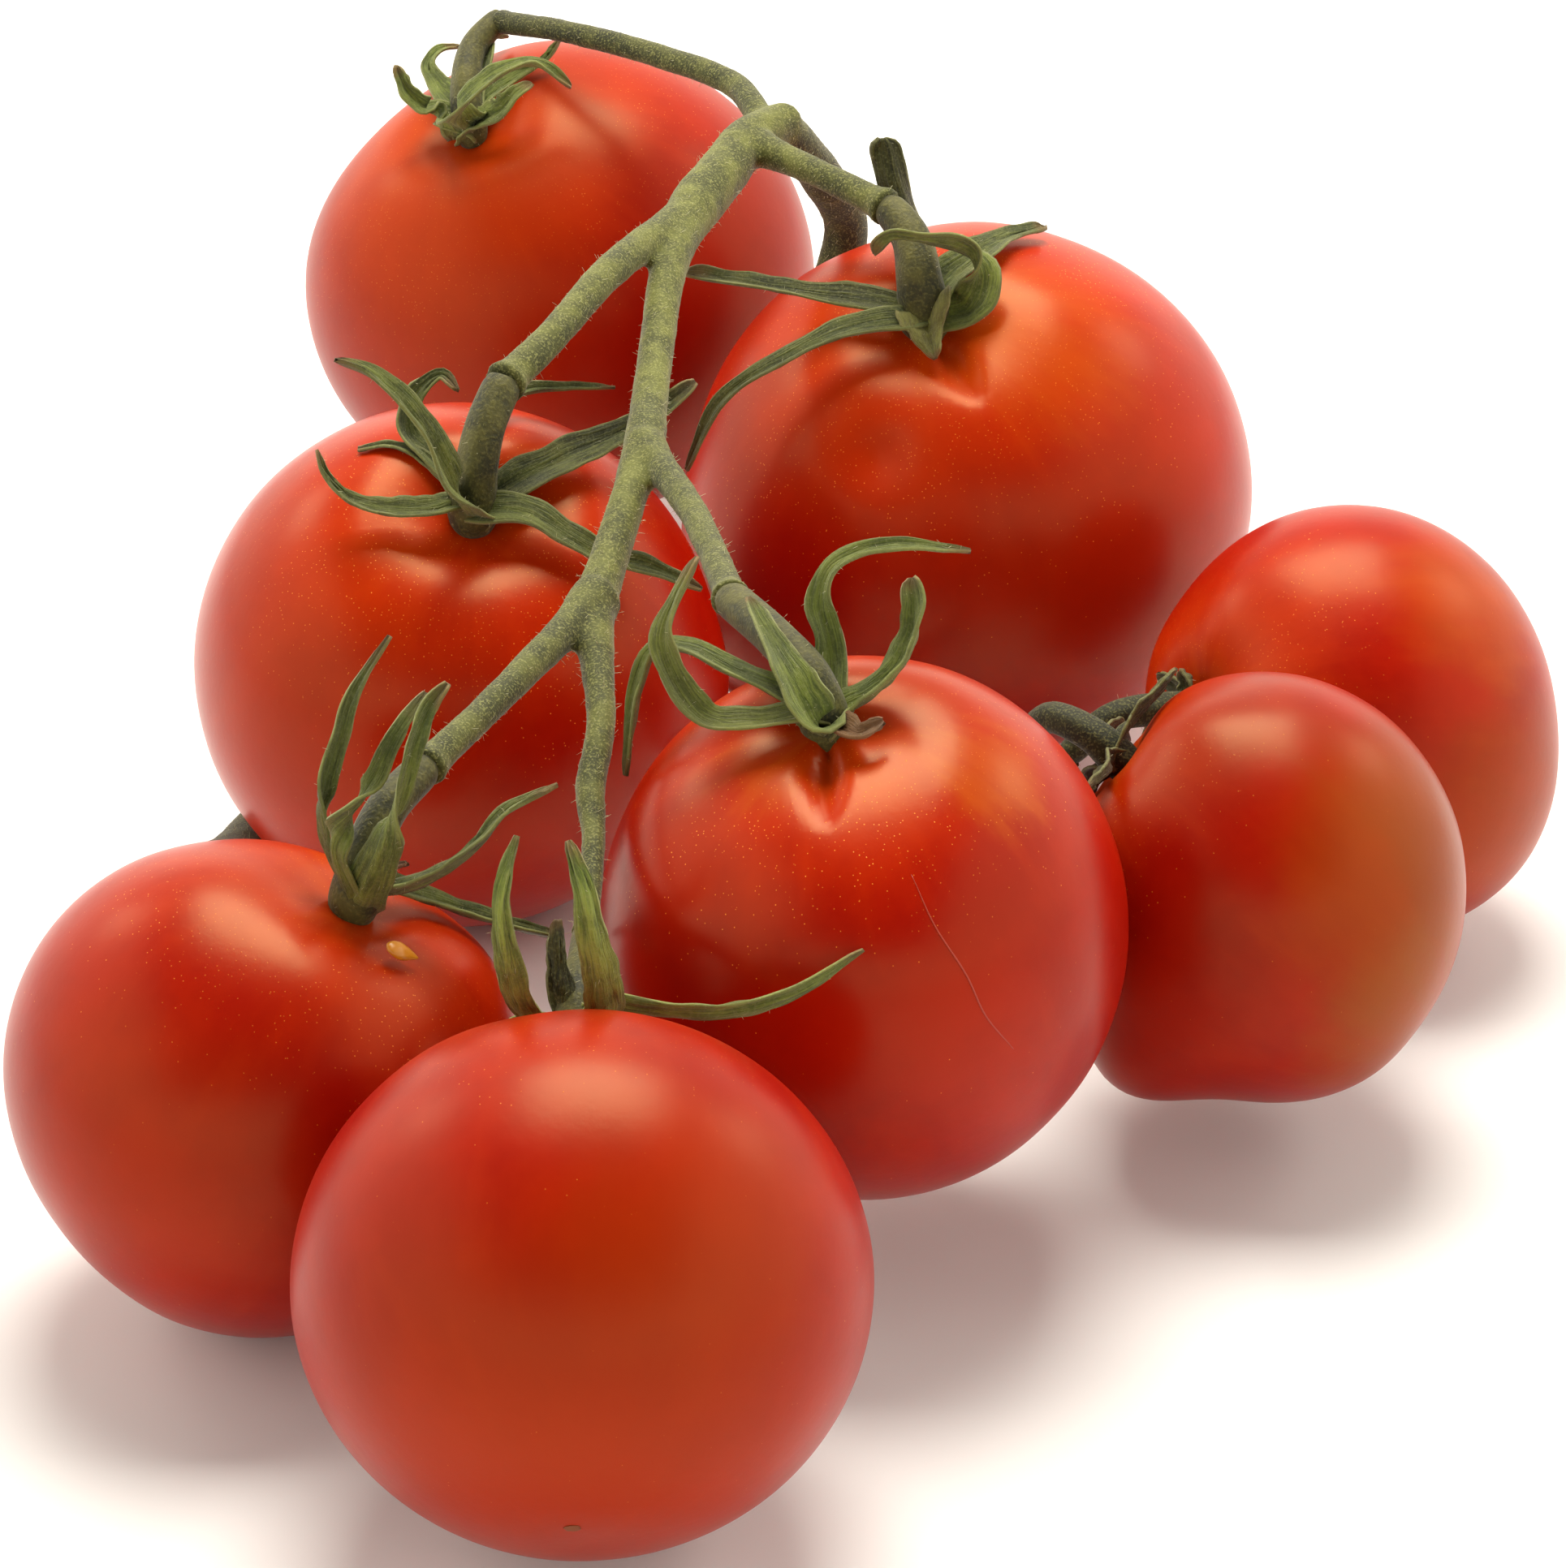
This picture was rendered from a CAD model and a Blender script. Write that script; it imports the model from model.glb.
"""A truss of eight tomatoes on a pale table: ripe glossy fruits, a downy forked stem and curled sepals."""

import math
import random

import bmesh
import bpy
from mathutils import Matrix, Vector, kdtree, noise


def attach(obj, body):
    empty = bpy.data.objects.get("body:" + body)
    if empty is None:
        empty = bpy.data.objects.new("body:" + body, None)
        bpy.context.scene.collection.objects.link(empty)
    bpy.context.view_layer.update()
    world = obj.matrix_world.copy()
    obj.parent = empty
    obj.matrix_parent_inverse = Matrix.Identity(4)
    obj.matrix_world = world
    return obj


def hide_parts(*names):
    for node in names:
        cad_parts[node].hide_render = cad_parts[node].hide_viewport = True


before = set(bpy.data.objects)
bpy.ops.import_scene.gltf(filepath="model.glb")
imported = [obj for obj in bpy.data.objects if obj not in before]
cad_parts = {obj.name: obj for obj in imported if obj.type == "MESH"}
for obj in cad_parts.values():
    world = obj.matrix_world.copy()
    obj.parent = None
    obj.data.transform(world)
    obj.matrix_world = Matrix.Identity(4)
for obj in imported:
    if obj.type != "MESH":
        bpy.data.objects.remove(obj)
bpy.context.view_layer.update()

# Sizes and places are in millimetres, and the meshes are in metres.
MM = 0.001
CAMERA_AT = Vector((-5.5, -524.0, 297.8)) * MM
CAMERA_DOWN = math.radians(28)
LEAN = CAMERA_DOWN  # the fruits' height axes lean back by this
FOCAL_PX = 6000
PHOTO_HEIGHT_PX = 1932
SENSOR = 36.0

# Each fruit: its centre, its half width, half height and half depth, and where its stalk points.
# bulges: (angle round the outline seen from the front, spread in degrees, millimetres).
# creases: down the shoulder, (degrees round the stalk, spread in degrees, millimetres, reach in radians).
# dent: round the stalk, (depth as a share of the radius, spread in radians, how much wider in front).
# rise: how far out the calyx sits, times the radius in the dent. lobe: how high the shoulder's lobes are.
# dimple: (across, up, toward the camera, spread in degrees, millimetres), a swelling where negative.
# scar: where the blossom end's scar is, where it isn't just opposite the stalk.
# gloss: the skin's roughness. light: how bright it is. shoulder, specks: how much of each shows.
# patches: (across, up, toward the camera, spread in degrees, strength, tint).
USUAL_FRUIT = dict(bulges=(), creases=(), dent=(0.13, 0.3, 0.0), rise=1.07, lobe=0.012, dimple=None,
                   scar=None, shoulder=0.75, specks=0.6)
TINTS = {"orange": (160, 46, 2), "gold": (178, 84, 8), "ochre": (136, 72, 8), "dull": (118, 30, 8)}
FRUITS = {
    1: dict(
        at=(-37.0, 116.5, 37.9), half=(36.0, 33.6, 31.8), stalk=(-0.37, -0.35, 0.86),
        bulges=[(135, 28, -2.6)], dent=(0.12, 0.24, 0.0), lobe=0.004, gloss=0.36, light=1.3,
        patches=[(-0.45, 0.1, 0.88, 30, 0.4, "orange"), (-0.35, 0.55, 0.75, 22, 0.3, "orange")]),
    2: dict(
        at=(18.9, 53.6, 33.9), half=(36.5, 34.7, 33.1), stalk=(-0.21, -0.35, 0.91),
        bulges=[(217, 26, 5.2)], creases=[(-66, 15, 2.0, 0.5)], dent=(0.1, 0.26, 0.45), rise=1.022,
        lobe=0.006, dimple=(-0.4, 0.08, 0.91, 7.0, 1.3), gloss=0.31, light=1.68, shoulder=0.5, specks=1.0,
        patches=[(-0.55, 0.45, 0.7, 26, 0.35, "orange"), (0.3, 0.0, 0.95, 34, 0.3, "orange"),
                 (0.2, 0.55, 0.8, 16, 0.35, "gold")]),
    3: dict(
        at=(-45.3, 8.2, 31.3), half=(31.9, 32.0, 30.4), stalk=(0.12, -0.38, 0.92),
        bulges=[(353, 16, 1.4)], dent=(0.17, 0.33, 0.3), lobe=0.0, gloss=0.28, light=1.5,
        shoulder=0.65, specks=0.9,
        patches=[(-0.7, 0.3, 0.6, 26, 0.3, "orange"), (-0.45, -0.5, 0.74, 30, 0.3, "orange")]),
    4: dict(
        at=(3.2, -66.3, 36.9), half=(28.6, 29.4, 27.0), stalk=(-0.16, -0.06, 0.98),
        creases=[(-93, 15, 2.0, 0.6)], dent=(0.11, 0.38, 0.5), rise=1.022, lobe=0.002,
        dimple=(0.05, -0.1, 0.99, 30.0, -2.0), gloss=0.29, light=1.42, shoulder=0.6, specks=1.0,
        patches=[(0.43, 0.6, 0.65, 10, 0.5, "gold"), (-0.4, 0.62, 0.65, 9, 0.35, "gold"),
                 (0.0, 0.85, 0.5, 22, 0.4, "orange")]),
    5: dict(
        at=(-61.0, -81.4, 25.7), half=(27.1, 26.4, 25.4), stalk=(0.44, 0.09, 0.89),
        bulges=[(135, 38, 1.4), (215, 30, -1.2), (25, 22, 1.4)], dent=(0.14, 0.38, 0.0), lobe=0.004,
        gloss=0.31, light=1.36, shoulder=0.8, specks=0.8,
        patches=[(0.15, 0.8, 0.55, 12, 0.3, "orange"), (-0.4, -0.3, 0.85, 30, 0.3, "orange")]),
    6: dict(
        at=(-25.3, -122.2, 28.3), half=(28.8, 27.2, 26.0), stalk=(-0.05, 0.8, 0.6),
        dent=(0.06, 0.3, 0.0), lobe=0.003, scar=(-0.013, -0.886, -0.463), gloss=0.34, light=1.34,
        patches=[(0.45, 0.3, 0.85, 22, 0.5, "orange"), (0.0, -0.6, 0.8, 40, 0.55, "orange")]),
    7: dict(
        at=(48.7, -43.4, 29.2), half=(22.8, 24.2, 21.6), stalk=(-0.75, 0.3, 0.59),
        bulges=[(233, 21, 4.6), (300, 30, 0.8), (255, 14, -0.8)], gloss=0.33, light=1.3,
        patches=[(0.72, 0.15, 0.65, 30, 0.55, "ochre"), (0.62, -0.6, 0.5, 20, 0.6, "ochre"),
                 (0.3, -0.1, 0.95, 16, 0.5, "orange"), (-0.2, 0.8, 0.55, 20, 0.4, "dull")]),
    8: dict(
        at=(63.1, 1.4, 25.9), half=(25.0, 27.3, 23.7), stalk=(-0.85, -0.42, 0.32),
        bulges=[(330, 26, 1.1), (290, 18, -0.8)], gloss=0.34, light=1.48,
        patches=[(0.5, 0.6, 0.6, 17, 0.4, "gold"), (0.75, -0.4, 0.5, 24, 0.4, "ochre")]),
}
FRUITS = {number: {**USUAL_FRUIT, **fruit} for number, fruit in FRUITS.items()}

# The shoulder's lobes: how many, how far from the stalk and how spread, in radians.
LOBES, SHOULDER, SHOULDER_SPREAD = 5, 0.62, 0.35
# The dip at the blossom end: its depth as a share of the radius, and its spread in radians.
BLOSSOM_DIP, BLOSSOM_SPREAD = 0.02, 0.2
# A crease: how far from the stalk it starts, in radians, and how much narrower it ends.
CREASE_START, CREASE_CLOSES = 0.22, 0.85
# Soft waves of the whole skin: millimetres high, how many to the radius, and how they differ by fruit.
SKIN_WAVE, SKIN_WAVES, SKIN_SHIFT = 0.09, 3.1, 0.1

# Sepals of each calyx: widest width, then a route from the seat, as offsets chosen by eye.
SEPALS = {
    1: [
        (6.0, (-2, 0, 0.5), (-4.5, 1, 1.5), (-6, -1, 3), (-8, -1, 5.5), (-9.5, 0, 9)),
        (5.0, (-2, 4, 2), (-4.5, 9, 3), (-6, 12, 4.5), (-4.5, 14, 6), (-2, 15.5, 6)),
        (7.0, (0, -3, 1), (-1, -7, 4.5), (3, -9, 9.5), (7, -9, 12), (10, -8, 12), (14.5, -8, 9)),
        (6.0, (1.5, -2, 1.5), (4.5, -4.5, 4), (7, -5, 7), (9, -4, 8)),
        (4.0, (2, 2, 2.5), (6.5, 5, 5.5), (10.5, 6.5, 7.5), (12.5, 7.5, 10)),
        (5.0, (0.5, 4, 3), (2, 9, 7), (2.5, 14, 8), (4.5, 18, 7)),
    ],
    2: [
        (4.5, (-1.5, -0.5, 1), (-5.5, 0, 2), (-14, 2, 2.4), (-22, 3, 3.4), (-30.5, 4, 4.5)),
        (4.5, (-2, -3, 1), (-9, -5, 1), (-18, -8, -2), (-25.5, -9, -7), (-30, -10, -16)),
        (9.5, (0, -2.5, 1.2), (0.3, -5, 0.2), (1.0, -8.2, -1.6)),
        (5.2, (2, -1, 1), (5.2, -1.5, 2.2), (6.8, -1, 6), (5.5, -1, 9.2), (0, -3, 11.8), (-4.5, -3, 12.3),
         (-6.6, -3, 10.3)),
        (6.0, (2.5, 3, 1.5), (7, 7, 3), (11, 12, 4), (15.5, 16, 6)),
        (4.6, (0, 4, 2), (-1, 11, 6), (-3.6, 13.5, 12), (-5.2, 14.4, 18.9)),
    ],
    3: [
        (6.0, (-0.5, -3, 1), (-2, -7, 6), (-4.5, -8, 13), (-7, -9, 17.5), (-11, -10, 22), (-14.5, -11, 24)),
        (4.5, (-2, -1, 1), (-4.5, -3, 1.5), (-10, -4, 2), (-14.5, -4, 3.5), (-17, -3, 6), (-18, -2, 9)),
        (4.5, (-1.5, 3, 1.5), (-5.5, 6, 4), (-8, 8, 7), (-7, 10, 11), (-4, 11, 13), (-2, 9, 12)),
        (2.4, (-2, 2.5, 1.5), (-7, 6, 4), (-10, 7.5, 3.5), (-13, 8, 2)),
        (3.2, (0.5, 4, 2), (1, 10, 6), (4.5, 17, 8), (10.5, 21, 7), (16, 23, 6)),
        (5.5, (2, 1.5, 1), (9, 5, 4), (14.5, 9, 5), (19.5, 13, 6), (26, 17, 9.5)),
        (5.0, (2, -2, 1), (6.5, -2.5, 1), (11, -4, -1), (15, -5, -3), (20.5, -5, -4.5), (27, -7, -6.5)),
    ],
    4: [
        (5.0, (-2, -1, 1), (-7.5, -2, 1), (-12.5, -2, 1.5), (-15.5, -1, 5), (-17, 1, 9.5), (-13.5, 5, 17)),
        (4.5, (-2, 2, 1), (-5.5, 4, 2), (-10, 6, 3), (-14.5, 8, 4.5), (-18, 9, 4), (-20, 8, 0),
         (-21.5, 6, -9.5)),
        (4.5, (0.5, 3, 1), (0.5, 7, 5), (-0.5, 9, 9.5), (0.5, 10, 13), (3, 11, 14.5), (7.5, 12, 15),
         (15.5, 14, 13.5)),
        (5.5, (2, 0.5, 1), (5.5, 1, 3.5), (8.5, 2, 7), (9.5, 3, 11.5), (9, 5, 14.5)),
        (5.5, (-0.8, -3.5, 1), (-3.2, -1.5, 4.8), (-6, 4, 8), (-8.2, 10.5, 9.6)),
        (4.0, (1.5, -3, 1), (3.5, -5.5, 1.5), (6, -4.5, 2.5)),
    ],
    5: [
        (3.8, (-1.5, 1, 1.5), (-3, 1, 6), (-3, 1, 11.5), (-1.5, 3, 16.5), (0, 5, 21), (4, 7, 27.5)),
        (4.5, (-0.5, -2, 2), (-1.5, -3.5, 9), (2, -3.5, 15), (5, -2, 20.5), (8, 2, 23.5)),
        (6.0, (1, -3, 2), (4, -6, 11), (7, -4, 20.5), (8.5, -2, 23.5), (10.5, -1, 26)),
        (5.0, (2, -1.5, 1), (7, -2.5, 3), (12.5, -3, 7), (16.5, -2, 11.5), (21.5, 0, 13.5)),
        (2.8, (1, 2.5, 1), (3, 5, 1), (5, 6.5, 1)),
        (4.0, (2, 2, 0.5), (6.5, 5, -2.5), (13, 7, -6), (21, 10, -10)),
    ],
    6: [
        (4.5, (-3.8, -1, 1.2), (-5.4, -4, 6), (-6.2, -7.5, 13), (-6.4, -8, 20), (-5.0, -5, 25)),
        (6.0, (2.8, -1.5, 2), (3.3, -4.5, 7), (2.5, -8, 15), (1.7, -8.5, 21), (0.3, -6, 25)),
        (4.0, (-1, 1, 3), (-1.5, 2, 7), (-1.5, 3, 11)),
        (4.0, (3, 0.5, 1.5), (8, 1, 1), (13.5, 1, 0.5), (18.5, 2, 0.8), (24, 4, 2.3), (29.5, 7, 5)),
        (4.2, (-3, 1.5, -0.5), (-8, 4, -4), (-12, 6, -9)),
    ],
    7: [
        (5.0, (0.5, 0.5, 2.5), (3.5, 3, 5.5), (6.5, 5, 9)),
        (4.4, (-1.5, -3, 1), (-2, -8, 2.5), (-4.5, -13, 3)),
        (4.4, (-1, 3.5, 0), (1, 9, -1), (2.5, 14, -5)),
        (4.2, (-2.5, -2, -2.5), (-2.5, -4, -8), (-4, -5, -14)),
        (4.2, (-2, 2.5, -2), (-1.5, 5, -8), (-4, 6.5, -13)),
    ],
    8: [
        (4.4, (-0.5, 0, 2), (-1, 1, 3.5), (-2, 2, 4.5)),
        (4.4, (0.5, -3, 0.5), (4, -9, 0.5), (7.5, -13, -2)),
        (4.4, (-1.5, 2.5, 1), (-2, 5, 1), (-3, 8, 0.5)),
        (4.2, (-1, -2, -2.5), (-1, -4, -8), (-3, -6, -13)),
        (4.2, (-1.5, 2, -2), (-3, 6, -7), (-6, 8, -11)),
    ],
}

# The stalk of each fruit below its knuckle, from the knuckle to the calyx, with its radii.
LOWER_STALKS = {
    1: ((-45.0, 118.0, 75.5, 1.7), (-48.0, 114.5, 73.0, 1.9), (-48.8, 108.5, 69.0, 2.1)),
    2: ((7.9, 50.3, 74.3, 2.1), (10.6, 46.5, 71.8, 2.5), (11.6, 43.2, 67.5, 2.9)),
    3: ((-38.6, 3.4, 70.2, 2.3), (-40.4, 0.0, 66.5, 2.4), (-41.5, -2.0, 61.5, 2.6)),
    4: ((-10.9, -48.0, 67.2, 2.1), (-5.9, -59.0, 67.8, 2.2), (-2.5, -65.5, 66.4, 2.4)),
    5: ((-43.7, -69.4, 57.6, 2.0), (-47.0, -75.0, 56.0, 2.2), (-49.4, -78.4, 51.5, 2.4)),
    6: ((-25.9, -86.0, 47.2, 1.4), (-25.9, -92.5, 47.8, 1.7), (-26.4, -99.0, 46.0, 2.1)),
    7: ((23.0, -27.5, 40.5, 1.6), (25.0, -31.5, 44.5, 1.8), (29.5, -35.6, 44.3, 2.0)),
    8: ((28.5, -14.2, 31.0, 1.6), (33.0, -13.4, 35.0, 1.8), (38.5, -11.0, 35.0, 2.0)),
}

SHADED = (7, 8)  # fruits whose lower stalks lie in shade and wear the stem's green, at its darkest

# The stem's runs: how light at both ends, swelling at both ends, and the route with its radii.
STEMS = [
    ((0.15, 0.15), (0.35, 0.0), (-74.5, -2, 6.1, 4.2), (-70.5, 14, 4.9, 4.0), (-62, 32, 4.4, 3.8),
     (-46, 49, 4.8, 3.6), (-24, 60, 8, 3.3), (-12, 78, 20, 3.1), (-2, 88, 40, 3.0), (3, 90, 56, 3.0),
     (-0.6, 84, 66, 2.9), (-6, 76, 76, 2.8)),
    ((1.4, 0.6), (0.0, 0.35), (-5, 77.5, 76, 2.7), (-10, 70, 76, 3.1), (-13.2, 61, 75, 3.3),
     (-16.5, 52, 74, 3.4), (-18.4, 44, 73.2, 2.7), (-19.8, 34, 71.6, 2.3), (-20.8, 20, 68, 2.2),
     (-21.4, 8, 66, 2.25),
     (-21.8, -2, 65, 2.5), (-23, -11, 63.6, 2.2), (-25.3, -24, 60.6, 2.3), (-26.8, -34, 58.6, 2.6),
     (-26.0, -43, 57, 1.95), (-25.3, -54, 54.6, 1.65), (-26.2, -62, 51.6, 1.7), (-25.6, -70, 49.6, 1.35),
     (-25.9, -85.7, 47.1, 1.25)),
    ((0.7, 0.0), (0.0, 0.16), (-8, 74, 76, 1.8), (-9.6, 81, 77, 1.8), (-12.4, 88, 77.4, 1.75),
     (-23.4, 99, 77.6, 1.65), (-34.5, 108, 77.4, 1.6), (-44.7, 117.7, 75.6, 1.6)),
    ((0.9, 0.7), (0.35, 0.3), (-10.5, 70, 76, 2.1), (-1.2, 60, 75.4, 1.85), (7.6, 50.6, 74.4, 2.0)),
    ((0.9, 0.75), (0.35, 0.3), (-17, 50, 73.6, 2.3), (-22.5, 38, 74.6, 2.2), (-27.5, 26, 74.6, 2.1),
     (-33, 13, 72.6, 2.0), (-38.3, 3.9, 70.5, 2.2)),
    ((0.75, 0.6), (0.35, 0.3), (-21.8, -2, 65, 2.0), (-16.1, -21, 66, 1.75), (-13, -36, 66.5, 1.7),
     (-11.1, -47.5, 67.1, 1.9)),
    ((0.7, 0.6), (0.4, 0.3), (-26.4, -31, 59.2, 2.2), (-32.6, -46, 59, 1.9), (-37.4, -57, 58.6, 1.75),
     (-43.3, -68.8, 57.7, 1.9)),
    ((0.1, -0.4), (0.0, 0.0), (-27, 58, 7, 2.6), (-14, 40, 7, 2.5), (-2, 20, 9, 2.3), (8, 2, 12, 2.1),
     (15, -10, 15, 2.0)),
    ((-0.4, -0.6), (0.0, 0.3), (13, -7, 14, 1.9), (16, -14, 22, 1.7), (19, -21, 31, 1.6),
     (22.7, -26.9, 40, 1.5)),
    ((-0.4, -0.6), (0.0, 0.3), (13, -7, 14, 1.9), (20, -12, 18, 1.7), (25, -14, 24, 1.6),
     (28.1, -14.2, 30.5, 1.5)),
]

# The stem's skin: the cell it is fused with, how often it is smoothed, how many nearby spots give its tone,
# and its lumps as (how many to the millimetre, millimetres high).
STEM_VOXEL, STEM_SMOOTHINGS, TONE_SPOTS = 0.41, 5, 6
STEM_LUMPS = ((0.3, 0.09), (1.3, 0.05))

# A lower stalk: how far it runs into its knuckle, its waist there and the waist's reach, then how deep it
# widens under the calyx and how much, how deep it ends and with what radius, its ribs and the rings' space.
KNUCKLE_REACH, WAIST, WAIST_REACH = 1.0, -0.12, 0.7
CROWN_DEEP, CROWN_WIDER, FOOT_DEEP, FOOT_RADIUS = 1.0, 1.1, 4.0, 0.8
STALK_RIBS, STALK_SPACING = 0.04, 0.4

# Tubes: the curve's steps between two points, the samples that give a length, the fewest rings, the ribs
# round a tube, and a skew direction, which no route starts along and by which faces can be sorted.
FINE_STEPS, ROUGH_COUNT, FEWEST_RINGS, RIBS_ROUND = 24, 24, 8, 5
SKEW_WAY = (0.21, 0.13, 0.97)

# How light each calyx is, and single sepals that are turned, rolled or dried in their own way.
# slim: times the width above. taper: how much narrower it ends. roll, turn: degrees at root and tip.
# fold: how far the sides stand over the midrib. ragged: how uneven its edges are. dry: how brown it is.
# brown_end: whether its tip is brown.
USUAL_SEPAL = dict(slim=1.0, taper=0.78, fold=0.25, ragged=0.2, dry=0.0, brown_end=True)
CALYX_TONE = {1: 0.65, 2: 0.25, 3: 0.3, 4: 0.6, 5: 0.35, 6: 0.8, 7: -0.5, 8: -0.5}
SEPAL_LOOKS = {
    (2, 0): dict(tone=0.1, taper=0.45),
    (2, 2): dict(dry=0.3, fold=0.55, roll=(60, 20), taper=0.88, tone=0.7),
    (2, 3): dict(turn=(10, 75), roll=(20, 30), taper=0.4, slim=1.1, tone=0.6),
    (2, 4): dict(slim=1.2, roll=(80, 80), taper=0.75, tone=0.3),
    (2, 5): dict(roll=(240, 60), turn=(180, 180), tone=-0.2, taper=0.15, slim=1.05, ragged=0.0,
                 brown_end=False),
    (3, 0): dict(slim=1.15, roll=(30, 80), taper=0.7, tone=0.4),
    (3, 5): dict(slim=1.1, tone=0.15),
    (3, 6): dict(slim=1.05),
    (4, 0): dict(dry=0.1, slim=0.85, taper=0.55),
    (4, 2): dict(slim=0.95, taper=0.8),
    (4, 3): dict(taper=0.6),
    (4, 4): dict(slim=1.15, taper=0.88, roll=(90, 120)),
    (4, 5): dict(dry=0.9, slim=1.2),
    (5, 0): dict(slim=0.8),
    (5, 1): dict(slim=0.9, tone=0.5),
    (5, 2): dict(slim=0.9, tone=0.6),
    (5, 4): dict(dry=1.0),
    (6, 0): dict(slim=0.8, tone=1.0, roll=(20, 40), taper=0.75),
    (6, 1): dict(slim=0.82, tone=1.0, roll=(20, 50), taper=0.72),
    (6, 2): dict(tone=-0.2),
}
LEAF_LAYERS = ("across", "along", "tone", "dry")  # what the sepals' material reads from their mesh
CALYX_SUNK = 1.2  # how far below the calyx's seat the sepals start
SEPAL_MARGIN = 0.6  # how far a sepal's route stays off the skin
BLADE_THICK, BLADE_NARROWEST = 0.34, 0.4
ROOT_ROLL, TIP_ROLL, TIP_TURN = (30, 60), (50, 110), (-25, 25)
# A sepal's outline: the curve of its taper, then where its round end starts, how long and how round it is.
TAPER_CURVE, END_FROM, END_LONG, END_ROUND = 1.25, 0.93, 0.07, 0.94
# The uneven edges and the midrib's width, then the ripple of the margins: its height and how many.
EDGE_WAVES, MIDRIB = 9, 0.35
RIPPLE, RIPPLES = 0.12, 11
# Wrinkles: millimetres high, then (how many across, how many along, which noise, how strong).
WRINKLE = 0.32
WRINKLES = ((3.4, 2.6, 7, 1.0), (6.0, 11.0, 2, 0.6))
TONE_WRINKLE = 0.1  # how much a wrinkle changes the tone
GREEN_END = 0.8  # a tip that isn't brown has the colours of this share of its length
SEPAL_SEED = 40

# Hairs: the radius and the tip's share of it, how far they lean, how upright they are at least, how deep
# they are rooted, the shortest as a share of the longest, and how many are short.
HAIR_RADIUS, HAIR_TIP = 0.035, 0.3
HAIR_LEAN, HAIR_UPRIGHT, HAIR_ROOT = 0.8, 0.25, 0.05
SHORTEST_HAIR, SHORT_HAIRS = 0.3, 1.6
STEM_HAIRS, STEM_HAIR_LONG = 3400, 1.0
CALYX_HAIRS, CALYX_HAIR_LONG = 1600, 0.7
HAIR_SEED = 7

SCRATCH = [(7.5, -86.5, 54.4), (9.6, -89, 50.1), (12.9, -90.4, 45.1), (14.8, -90.6, 40.8),
           (18.2, -89.7, 35.9)]
SCRATCH_RADIUS, SCRATCH_THIN, SCRATCH_SPOTS = 0.11, 0.35, 16
SCAR_HALF, SCAR_UNEVEN, SCAR_OUT, SCAR_LOWEST = (0.8, 0.6, 0.22), 0.3, 0.02, 0.35
SEED_AT, SEED_POINT, SEED_OUT = (-45.2, -87.3, 45.8), (-43.6, -86.7, 44.7), (0.6, -0.23, 0.77)
# The seed: its half sizes, how far and how thin its point is drawn, its lumps, and how far out it lies.
SEED_HALF, SEED_DRAWN, SEED_THINNED, SEED_LUMPS, SEED_LIFT = (1.75, 1.15, 0.55), 0.25, 0.45, 0.05, 0.3

WARM_WHITE = (1.0, 0.93, 0.76, 1.0)
ROOM_DIM, ROOM_BRIGHT = 0.15, 1.8
TABLE_HALF = 4000
# Lamps, in metres: where each is, what it points at, its width and height, and its watts.
LAMPS = {
    "softbox_above": ((0.0, 0.215, 0.68), (0.0, 0.0, 0.03), (0.44, 0.36), 6.9),
    "side_panel_left": ((-0.54, 0.33, 0.47), (0.0, -0.02, 0.03), (0.2, 0.2), 0.55),
    "side_panel_right": ((0.54, 0.27, 0.5), (0.0, -0.02, 0.03), (0.2, 0.2), 0.55),
}


def bell(distance, spread):
    """A soft bump: 1 at no distance, falling away past the spread."""
    return math.exp(-((distance / spread) ** 2))


def clamp(value, low=-1.0, high=1.0):
    return max(low, min(high, value))


def across(axis):
    """Two directions square to an axis."""
    side = (Vector((1, 0, 0)) - axis * axis.x).normalized()
    return side, axis.cross(side)


def seen_way(across_view, up_view, toward):
    """The world direction of a direction given as seen in the photograph."""
    return Vector((across_view, up_view * math.sin(LEAN) - toward * math.cos(LEAN),
                   up_view * math.cos(LEAN) + toward * math.sin(LEAN))).normalized()


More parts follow.
